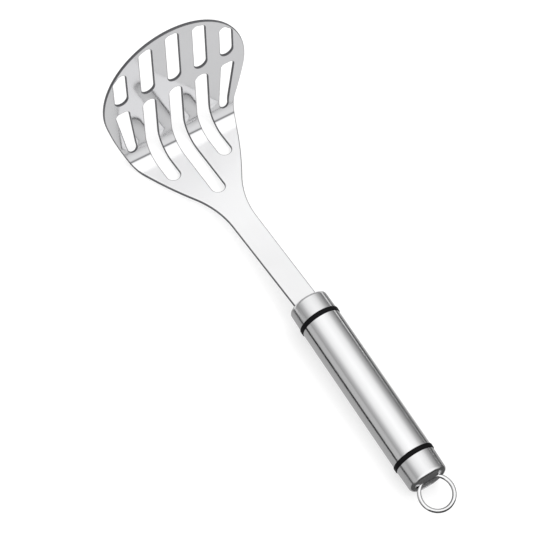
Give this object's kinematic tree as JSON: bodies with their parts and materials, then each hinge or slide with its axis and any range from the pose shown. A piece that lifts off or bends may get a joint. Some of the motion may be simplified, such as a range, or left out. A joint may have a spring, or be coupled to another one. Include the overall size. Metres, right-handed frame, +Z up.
{
  "type": "potato masher",
  "caption": "Potato masher with a slotted, right-angled sheet steel blade on a flat shank, a round hollow steel handle with rubber seal rings, and a swinging wire hanging ring.",
  "frame": {"origin": "middle of the bounding box's bottom face: on the table under the middle of the masher as it lies, blade up", "axes": "+X from the hanging ring along the handle towards the blade, +Y to the left seen from the ring, +Z up from the table"},
  "size_m": [0.3098, 0.0984, 0.0981],
  "materials": {
    "blade_steel": "satin shank and flare, mirror-polished plate",
    "handle_steel": "lengthwise brushed stainless tube",
    "drawn_steel": "brushed drawn stainless cups",
    "seal_rubber": "matt black rubber",
    "plug_nylon": "moulded dark grey nylon",
    "pin_steel": "ground steel pins",
    "ring_wire": "bright drawn stainless wire"
  },
  "bodies": {
    "masher": {"masher_blade": "blade_steel", "front_ferrule": "drawn_steel", "front_seal_ring": "seal_rubber", "handle_tube": "handle_steel", "rear_seal_ring": "seal_rubber", "end_cap": "drawn_steel", "front_plug": "plug_nylon", "rear_plug": "plug_nylon", "tang_pins": "pin_steel"},
    "ring": {"hanging_ring": "ring_wire"}
  },
  "joints": [
    {"name": "ring_swing", "type": "hinge", "parent": "masher", "child": "ring", "pos_m": [-0.13501, 0, 0.01247], "axis": [0, 1, 0], "range_deg": [0, 20]}
  ]
}
